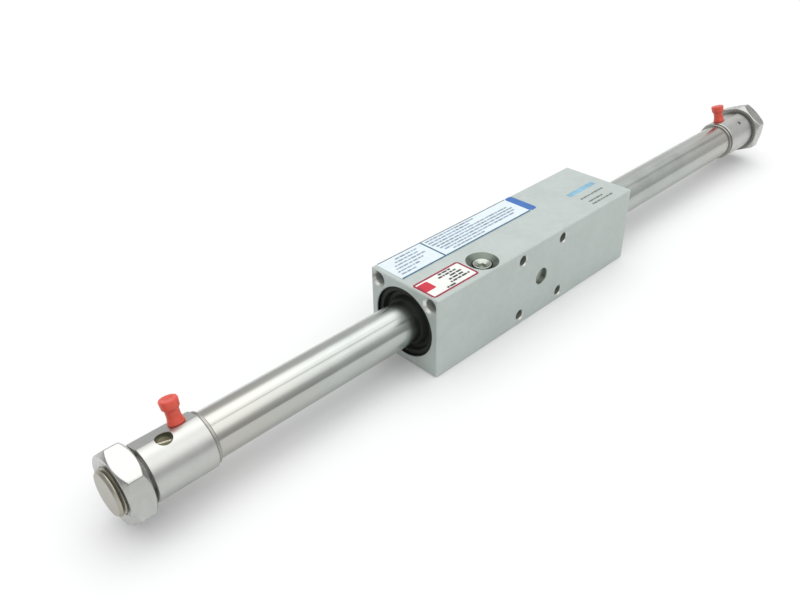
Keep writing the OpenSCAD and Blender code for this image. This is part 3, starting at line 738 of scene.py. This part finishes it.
@dataclass
class MountingNuts:
    """The two hexagon nuts, with arcs where their chamfers meet the flats."""

    wardrobe: Wardrobe
    across_flats: float = 24 * MM
    bore: float = 8.05 * MM
    edge: float = 0.3 * MM
    round_off: float = 0.16 * MM
    chamfer: float = math.radians(39)
    columns: int = 360
    turn: dict[End, float] = field(
        default_factory=lambda: {End.NEAR: math.radians(12.6), End.FAR: math.radians(-6.4)}
    )

    def build(self) -> None:
        """Makes both nuts."""
        for end in End:
            name = f"mounting_nut_{end.word}"
            grid = self.grid(box_array(name), self.turn[end])
            piece = solid(f"hexagon_nut_{end.word}", [grid], 50)
            self.wardrobe.dress(piece, "nut_plating")
            join_object(piece, f"nut_{end.word}", (name,))

    def grid(self, box: Array, turn: float) -> Array:
        """Surface of one nut.

        Round the axis the radius is the lesser of the hexagon's, half the width
        across flats divided by the cosine of the angle from the nearest flat's
        middle, and the chamfer cone's, which grows from either face by the
        distance from that face divided by the chamfer's tangent.

        Args:
            box: The CAD nut's corners.
            turn: Angle of one corner from the vertical, towards +Y.

        Returns:
            Points as rows x columns x 3.
        """
        start, end = box[:, 0]
        height = (box[0, 2] + box[1, 2]) / 2
        flat = self.across_flats / 2
        bore = self.bore
        reach = (flat / math.cos(math.pi / 6) - flat) * math.tan(self.chamfer)
        close_rows = np.linspace(0, reach * 1.15, 16)
        wide_rows = np.linspace(reach * 1.3, (end - start) / 2, 6)
        depth = np.concatenate([close_rows, wide_rows])
        place = np.concatenate([depth, (end - start) - depth[::-1][1:]])
        angle = around(self.columns)
        sixth = math.pi / 3
        from_flat = (angle - turn) % sixth - sixth / 2
        corner = np.full_like(angle, flat / math.cos(sixth / 2) - self.round_off / 2)
        hexagon = smooth_least(flat / np.cos(from_flat), corner, self.round_off)
        nearest = np.minimum(place, (end - start) - place)[:, None]
        cone = flat - self.edge + nearest / math.tan(self.chamfer)
        sides = np.broadcast_to(hexagon, (len(place), self.columns))
        outside = smooth_least(sides, cone, self.round_off)
        face_out = np.full(self.columns, flat - self.edge - self.round_off)
        rows = [
            (np.full(self.columns, bore + self.edge), start),
            (face_out, start),
            *((outside[i], start + place[i]) for i in range(len(place))),
            (face_out, end),
            (np.full(self.columns, bore + self.edge), end),
            (np.full(self.columns, bore), end - self.edge),
            (np.full(self.columns, bore), start + self.edge),
        ]
        radius = np.array([r for r, _ in rows])
        along = np.array([x for _, x in rows])[:, None] + np.zeros_like(radius)
        angles = np.broadcast_to(angle, radius.shape)
        return Axes.barrel(height).turned(radius, angles, along)


@dataclass
class PortPlugs:
    """The two moulded plugs in the ports, fluted round the waist."""

    wardrobe: Wardrobe
    height: float = 8.6 * MM
    lift: float = 0.1 * MM
    foot: float = 2.85 * MM
    waist: float = 2.35 * MM
    waist_span: tuple[float, float] = (2.4 * MM, 4.7 * MM)
    head: float = 3.2 * MM
    head_start: float = 5.35 * MM
    shank: float = 2.05 * MM
    shank_length: float = 4.0 * MM
    recess: float = 1.3 * MM
    recess_rim: float = 1.6 * MM
    recess_depth: float = 0.3 * MM
    flutes: int = 12
    flute_depth: float = 0.1 * MM
    columns: int = 192

    def build(self) -> None:
        """Makes both plugs."""
        for end in End:
            port = mount(f"port_{end.word}")
            axes = Axes.square_to_barrel(np.array(port["pos_m"]), np.array(port["axis"]))
            piece = solid(f"fluted_plug_{end.word}", [self.grid(axes)], 60)
            self.wardrobe.dress(piece, "plug_plastic")
            join_object(piece, f"plug_{end.word}", (f"port_plug_{end.word}",))

    def grid(self, axes: Axes) -> Array:
        """Surface of one plug.

        The radius at a height is the rounded profile's, less the flutes: half
        their depth times one minus the cosine of their number times the angle,
        faded in and out along the waist by a squared sine.

        Args:
            axes: The port's axis, from the flat outwards.

        Returns:
            Points as rows x columns x 3.
        """
        h, (low, high) = self.height, self.waist_span
        corners = np.array([
            [0, -self.shank_length], [self.shank, -self.shank_length], [self.shank, self.lift],
            [self.foot, self.lift], [self.foot, self.lift + 0.4 * MM], [self.waist, low],
            [self.waist, high], [self.head - 0.2 * MM, self.head_start + 0.25 * MM],
            [self.head, h - 0.4 * MM], [self.head - 0.25 * MM, h], [self.recess_rim, h - 0.06 * MM],
            [self.recess, h - self.recess_depth], [0, h - self.recess_depth],
        ])
        radii = np.array([0, 0.3, 0.03, 0.05, 0.3, 1.2, 0.7, 0.5, 0.4, 0.12, 0.2, 0.12, 0]) * MM
        profile = rounded(corners, radii, 6)
        angle = around(self.columns)
        share = np.clip((profile[:, 1] - low) / (high - low), 0, 1)
        fade = np.sin(np.pi * share) ** 2
        cut = self.flute_depth * fade[:, None] * (1 - np.cos(self.flutes * angle)) / 2
        radius = profile[:, :1] - cut
        place = profile[:, 1:] + np.zeros_like(radius)
        return axes.turned(radius, np.broadcast_to(angle, radius.shape), place)


@dataclass
class LockScrew:
    """The carriage's lock screw: a hollowed head with a hexagon socket."""

    wardrobe: Wardrobe
    head: float = 3.8 * MM
    shank: float = 2.0 * MM
    head_height: float = 2.6 * MM
    rim: float = 0.4 * MM
    hollow: float = 0.8 * MM
    socket: float = 1.5 * MM
    socket_lead: float = 0.15 * MM
    socket_depth: float = 0.9 * MM
    columns: int = 144

    def build(self) -> None:
        """Makes the screw."""
        piece = solid("hollowed_lock_screw", [self.grid(box_array("lock_screw"))], 35)
        self.wardrobe.dress(piece, "screw_steel")
        join_object(piece, "carriage", ("lock_screw",))

    def grid(self, box: Array) -> Array:
        """Surface of the screw, from its tip up to the rim and down into the socket.

        The socket's radius at an angle is half its width across flats over the
        cosine of the angle from the nearest flat's middle.

        Args:
            box: The CAD screw's corners.

        Returns:
            Points as rows x columns x 3.
        """
        top = box[1, 2] - box[0, 2]
        mouth = self.socket * 1.2
        corners = np.array([
            [0, 0], [self.shank, 0], [self.shank, top - self.head_height],
            [self.head, top - self.head_height], [self.head, top], [self.head - self.rim, top],
            [mouth, top - self.hollow],
        ])
        radii = np.array([0, 0.3, 0.1, 0.2, 0.25, 0.25, 0]) * MM
        profile = rounded(corners, radii, 5)
        angle = around(self.columns)
        flat = np.pi / 3
        radius = np.repeat(profile[:, :1], self.columns, axis=1)
        hexagon = self.socket / np.cos((angle + flat / 2) % flat - flat / 2)
        drops = np.array([self.socket_lead, self.socket_depth, self.socket_depth])
        lower = top - self.hollow - drops
        radius = np.vstack([radius, hexagon, hexagon, np.zeros_like(angle)])
        place = np.concatenate([profile[:, 1], lower])[:, None] + np.zeros_like(radius)
        axes = Axes(
            np.array([*box.mean(0)[:2], box[0, 2]]), np.array([1.0, 0, 0]), np.array([0, 1.0, 0]),
            np.array([0, 0, 1.0]),
        )
        return axes.turned(radius, np.broadcast_to(angle, radius.shape), place)


@dataclass
class Wipers:
    """The rubber wipers in the carriage's ends, each with a lip at the barrel and a sunk web."""

    wardrobe: Wardrobe
    bore: float = 8.65 * MM
    lip: float = 9.3 * MM
    web: tuple[float, float] = (10.2 * MM, 11.8 * MM)
    rim: float = 12.6 * MM
    rim_sink: float = 0.5 * MM
    web_sink: float = 2.5 * MM
    columns: int = 160

    def build(self) -> None:
        """Makes both wipers."""
        for end in End:
            name = f"wiper_{end.word}"
            piece = solid(f"rubber_wiper_{end.word}", [self.grid(box_array(name), end)], 45)
            self.wardrobe.dress(piece, "wiper_rubber")
            join_object(piece, "carriage", (name,))

    def grid(self, box: Array, end: End) -> Array:
        """Surface of one wiper: a rounded profile turned about the barrel.

        Args:
            box: The CAD wiper's corners.
            end: The carriage's end that it closes.

        Returns:
            Points as rows x columns x 3.
        """
        outer = (box[1, 2] - box[0, 2]) / 2
        height = (box[0, 2] + box[1, 2]) / 2
        inside, face = (box[0, 0], box[1, 0]) if end is End.FAR else (box[1, 0], box[0, 0])
        out = float(end.value)
        rim_face, web_face = face - out * self.rim_sink, face - out * self.web_sink
        web_in, web_out = self.web
        corners = np.array([
            [self.bore, inside], [outer, inside], [outer, rim_face], [self.rim, rim_face],
            [web_out, web_face], [web_in, web_face], [self.lip, face], [self.bore, face],
        ])
        radii = np.array([0.1, 0.1, 0.25, 0.3, 0.5, 0.5, 0.2, 0.1]) * MM
        return lathe(Axes.barrel(height), rounded(corners, radii, 5), self.columns)


@dataclass(frozen=True)
class Print:
    """One printed oblong in the label's plane."""

    x: tuple[float, float]
    y: tuple[float, float]
    corner: float = 0.05 * MM

    def outline(self, steps: int = 4, inset: float = 0.0) -> Array:
        """The area's rounded outline, moved inwards by the inset."""
        (x0, x1), (y0, y1) = self.x, self.y
        x0, x1, y0, y1 = x0 + inset, x1 - inset, y0 + inset, y1 - inset
        corners = np.array([[x0, y0], [x1, y0], [x1, y1], [x0, y1]])
        return rounded(corners, np.full(4, max(self.corner - inset, 0.02 * MM)), steps)


@dataclass
class Labels:
    """The two film labels and the printing on the carriage's top, all generic."""

    wardrobe: Wardrobe
    ink: float = 0.02 * MM
    thick_line: float = 0.8 * MM
    thin_line: float = 0.5 * MM
    frame_line: float = 0.95 * MM
    divider: float = 23.6 * MM
    band: float = 4.5 * MM
    word_gap: float = 0.4 * MM
    sunk: float = 0.01 * MM
    top_span: tuple[float, float] = (38.4 * MM, 57.4 * MM)
    top_rows: tuple[float, ...] = (-7.1 * MM, -10.9 * MM, -13.3 * MM)
    bar_span: tuple[float, float] = (-2.6 * MM, 0.2 * MM)
    seed: int = 7
    rng: np.random.Generator = field(init=False)

    def build(self) -> None:
        """Makes the films, their frames and their rows of word-long bars."""
        self.rng = np.random.default_rng(self.seed)
        self.wide_label(box_array("wide_label"))
        self.tag(box_array("small_label"))
        self.top_print(box_array("carriage_housing"))

    def slab(self, outline: Array, bottom: float, top: float) -> Array:
        """Grid of a flat slab: the outline's middle, its foot, its top and the middle again."""
        middle = np.broadcast_to(outline.mean(0), outline.shape)
        return layers([(middle, bottom), (outline, bottom), (outline, top), (middle, top)])

    def hoop(self, area: Print, line: float, bottom: float, top: float) -> Array:
        """Grid of a flat frame: the outline's foot and top, then the inset outline's."""
        outer, inner = area.outline(6), area.outline(6, line)
        return layers([(outer, bottom), (outer, top), (inner, top), (inner, bottom)])

    def film(self, word: str, box: Array, corner: float) -> None:
        """Lays one film of the size of its CAD node."""
        area = Print((box[0, 0], box[1, 0]), (box[0, 1], box[1, 1]), corner)
        piece = solid(f"{word}_film", [self.slab(area.outline(8), box[0, 2], box[1, 2])])
        finish = NODE_SLOTS[f"{word}_label"]
        self.wardrobe.dress(piece, finish)
        join_object(piece, "carriage", (f"{word}_label",))

    def lay(self, name: str, ink: str, areas: list[Print], surface: float) -> None:
        """Lays printed areas of one ink on a surface, as one piece.

        Args:
            name: The piece's name.
            ink: The ink's finish.
            areas: The areas.
            surface: Height of the surface under them.
        """
        foot, top = surface - self.sunk, surface + self.ink
        self.place(name, ink, [self.slab(area.outline(), foot, top) for area in areas])

    def place(self, name: str, ink: str, grids: list[Array]) -> None:
        """Makes printing from its grids and dresses it in its ink."""
        piece = solid(name, grids)
        self.wardrobe.dress(piece, ink)
        join_object(piece, "carriage")

    def words(
        self, x: tuple[float, float], rows: Array, height: float, spans: tuple, longest: float
    ) -> list[Print]:
        """Rows of bars as long as words.

        Each row runs over its span's share of the width. Its bars' ends are the
        running sum of random lengths and gaps, kept while they fit.

        Args:
            x: The panel's ends.
            rows: Y of each row's middle.
            height: The bars' size along Y.
            spans: Start and end of each row as shares of the width.
            longest: The longest bar.

        Returns:
            The bars.
        """
        made = []
        for row, (start, end) in zip(rows, spans):
            lengths = self.rng.uniform(longest * 0.25, longest, 40)
            ends = np.cumsum(lengths + self.word_gap) - self.word_gap
            kept = ends <= (end - start) * (x[1] - x[0])
            left = x[0] + start * (x[1] - x[0])
            made += [
                Print((left + stop - length, left + stop), (row - height / 2, row + height / 2))
                for stop, length in zip(ends[kept], lengths[kept])
            ]
        return made

    def wide_label(self, box: Array) -> None:
        """The wide label: film, long lines, divider, end band and two panels of words."""
        (x0, y0, _), (x1, y1, top) = box
        self.film("wide", box, 1.2 * MM)
        split, band = x0 + self.divider, x1 - self.band
        thick, thin = self.thick_line, self.thin_line
        self.lay("wide_lines", "teal_ink", [
            Print((x0 + 0.2 * MM, band), (y0, y0 + thick)),
            Print((split, split + thick), (y0 + thick, y1 - thin)),
        ], top)
        self.lay("wide_top_line", "slate_ink", [Print((x0 + 0.6 * MM, band), (y1 - thin, y1))], top)
        self.lay("wide_band", "blue_ink", [Print((band, x1), (y0, y1), 1.3 * MM)], top)
        small = self.words(
            (x0 + 2.2 * MM, split - 2 * MM),
            np.linspace(y1 - 2.4 * MM, y0 + 2.8 * MM, 6),
            0.8 * MM,
            ((0.3, 0.95), (0.2, 0.9), (0.1, 1.0), (0.05, 0.9), (0.0, 0.7), (0.0, 0.45)),
            3 * MM,
        )
        large = self.words(
            (split + 2 * MM, band - 2 * MM),
            np.linspace(y1 - 1.8 * MM, y0 + 2.4 * MM, 7),
            0.85 * MM,
            (
                (0.0, 0.62), (0.0, 0.5), (0.0, 0.98), (0.02, 1.0), (0.02, 1.0), (0.04, 0.95),
                (0.1, 0.5),
            ),
            4 * MM,
        )
        self.lay("wide_words", "grey_blue_ink", small + large, top)

    def tag(self, box: Array) -> None:
        """The small tag: film, round-cornered frame, plain square mark and rows of words."""
        (x0, y0, _), (x1, y1, top) = box
        self.film("small", box, 1.5 * MM)
        inset = 0.1 * MM
        area = Print((x0 + inset, x1 - inset), (y0 + inset, y1 - inset), 1.4 * MM)
        hoop = self.hoop(area, self.frame_line, top - self.sunk, top + self.ink)
        self.place("tag_frame", "crimson_ink", [hoop])
        reach = 2.7 * MM
        left, low = x0 + 0.9 * MM, (y0 + y1) / 2 - 1.1 * MM
        mark = Print((left, left + 2 * reach), (low, low + 2 * reach), 0.6 * MM)
        self.lay("tag_mark", "red_ink", [mark], top)
        bars = self.words(
            (x0 + 8 * MM, x1 - 2 * MM), np.linspace(y1 - 1.9 * MM, y0 + 1.9 * MM, 6), 0.95 * MM,
            ((0.3, 0.85), (0.2, 1.0), (0.5, 0.95), (0.35, 1.0), (0.3, 1.0), (0.05, 0.4)), 3.4 * MM,
        )
        self.lay("tag_words", "dark_ink", bars, top)

    def top_print(self, box: Array) -> None:
        """Plain print on the carriage itself: a pale bar and three rows of words."""
        middle, top = (box[0, 0] + box[1, 0]) / 2, box[1, 2]
        x = (middle + self.top_span[0], middle + self.top_span[1])
        self.lay("pale_bar", "pale_blue_ink", [Print(x, self.bar_span, 0.6 * MM)], top)
        spans = ((0.06, 0.95), (0.1, 0.7), (0.06, 0.9))
        bars = self.words(x, np.array(self.top_rows), 0.95 * MM, spans, 3.2 * MM)
        self.lay("top_words", "faded_ink", bars, top)


# ---- Studio ----


@dataclass
class Studio:
    """Floor, world and camera."""

    floor_half: float = 15.0
    floor_gap: float = 0.05 * MM
    floor_colour: Colour = (0.785, 0.79, 0.79)
    strength: float = 2.0
    up: Triple = (0.0, -0.15, 0.989)
    sky: tuple[tuple[float, float], ...] = (
        (0.0, 0.46), (0.15, 0.48), (0.35, 0.52), (0.5, 0.66), (0.6, 0.95), (0.7, 1.5), (0.8, 1.8),
        (1.0, 1.95),
    )
    glows: tuple[tuple[Triple, float, float, float], ...] = (
        ((0.82, 0.55, 0.17), 0.64, 0.98, 0.36),
        ((0.86, -0.45, 0.2), 0.9, 0.985, 0.2),
        ((0.30, 0.30, 0.905), 0.92, 0.985, 0.5),
        ((0.83, 0.0, 0.56), 0.93, 0.985, -0.2),
    )
    seam_normal: Triple = (0.061, 0.975, 0.214)
    seam_edges: tuple[float, float] = (0.025, 0.06)
    seam_level: float = 0.55
    camera_place: Triple = (-0.25405, -0.18261, 0.19673)
    azimuth: float = -43.83
    elevation: float = 33.60
    roll: float = -1.12
    lens: float = 36.495
    sensor: float = 36.0
    clip: tuple[float, float] = (0.005, 100.0)

    def build(self) -> None:
        """Makes the studio."""
        self.make_floor()
        self.make_world()
        self.make_camera()

    def make_floor(self) -> None:
        """Lays a plain pale floor just under the carriage."""
        half = self.floor_half
        flat = np.array([[-half, -half, 0], [half, -half, 0], [half, half, 0], [-half, half, 0]])
        mesh = bpy.data.meshes.new("floor")
        mesh.from_pydata((flat - [0, 0, self.floor_gap]).tolist(), [], [[0, 1, 2, 3]])
        floor = bpy.data.objects.new("floor", mesh)
        bpy.context.scene.collection.objects.link(floor)
        g = Graph("pale_floor")
        g.set(Base_Color=self.floor_colour, Roughness=0.9, Specular_IOR_Level=0.1)
        mesh.materials.append(g.material)

    def make_world(self) -> None:
        """Lights the object with a soft sky.

        Its level is a ramp of the height above a slightly tilted horizon, plus wide
        soft glows, or a dimming, each round its own direction, times a narrow seam
        between two panels, where the direction lies square to the seam's normal.
        """
        world = bpy.data.worlds.new("studio_sky")
        bpy.context.scene.world = world
        world.use_nodes = True
        g = Nodes(world.node_tree)
        direction = g.node("ShaderNodeTexCoord").outputs["Generated"]

        def along(axis: Triple) -> Socket:
            """How far the direction lies along an axis."""
            inputs = {0: direction, 1: axis}
            return g.node("ShaderNodeVectorMath", inputs, operation="DOT_PRODUCT").outputs["Value"]

        ramp = g.node("ShaderNodeValToRGB", {0: along(self.up)})
        elements = ramp.color_ramp.elements
        elements[0].position, elements[1].position = self.sky[0][0], self.sky[-1][0]
        for place, _ in self.sky[1:-1]:
            elements.new(place)
        for element, (_, level) in zip(elements, self.sky):
            element.color = (*(level / self.strength,) * 3, 1.0)
        total = ramp.outputs[0]
        for toward, start, end, level in self.glows:
            glow = g.remap(along(toward), start, end, 0.0, level / self.strength)
            total = g.math("ADD", total, glow)
        off_seam = g.math("ABSOLUTE", along(self.seam_normal))
        total = g.math("MULTIPLY", total, g.remap(off_seam, *self.seam_edges, self.seam_level, 1.0))
        background = g.tree.nodes["Background"]
        g.tree.links.new(total, background.inputs["Color"])
        background.inputs["Strength"].default_value = self.strength

    def make_camera(self) -> None:
        """Sets the camera, looking along its azimuth and down its elevation."""
        data = bpy.data.cameras.new("camera")
        data.lens, data.sensor_width, data.sensor_fit = self.lens, self.sensor, "HORIZONTAL"
        data.clip_start, data.clip_end = self.clip
        camera = bpy.data.objects.new("camera", data)
        bpy.context.scene.collection.objects.link(camera)
        bpy.context.scene.camera = camera
        turn = Matrix.Rotation(math.radians(self.azimuth), 4, "Z")
        tilt = Matrix.Rotation(math.radians(90 - self.elevation), 4, "X")
        roll = Matrix.Rotation(math.radians(self.roll), 4, "Z")
        camera.matrix_world = Matrix.Translation(self.camera_place) @ turn @ tilt @ roll


def main() -> None:
    """Builds every piece in order."""
    logging.basicConfig(level=logging.INFO, format="%(name)s: %(message)s")
    bpy.context.scene.view_settings.view_transform = "Standard"
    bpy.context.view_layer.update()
    wardrobe = Wardrobe()
    wardrobe.dress_nodes()
    for kind in (MountingNuts, PortPlugs, LockScrew, Wipers, Labels):
        kind(wardrobe).build()
    Studio().build()


if __name__ == "__main__":
    main()
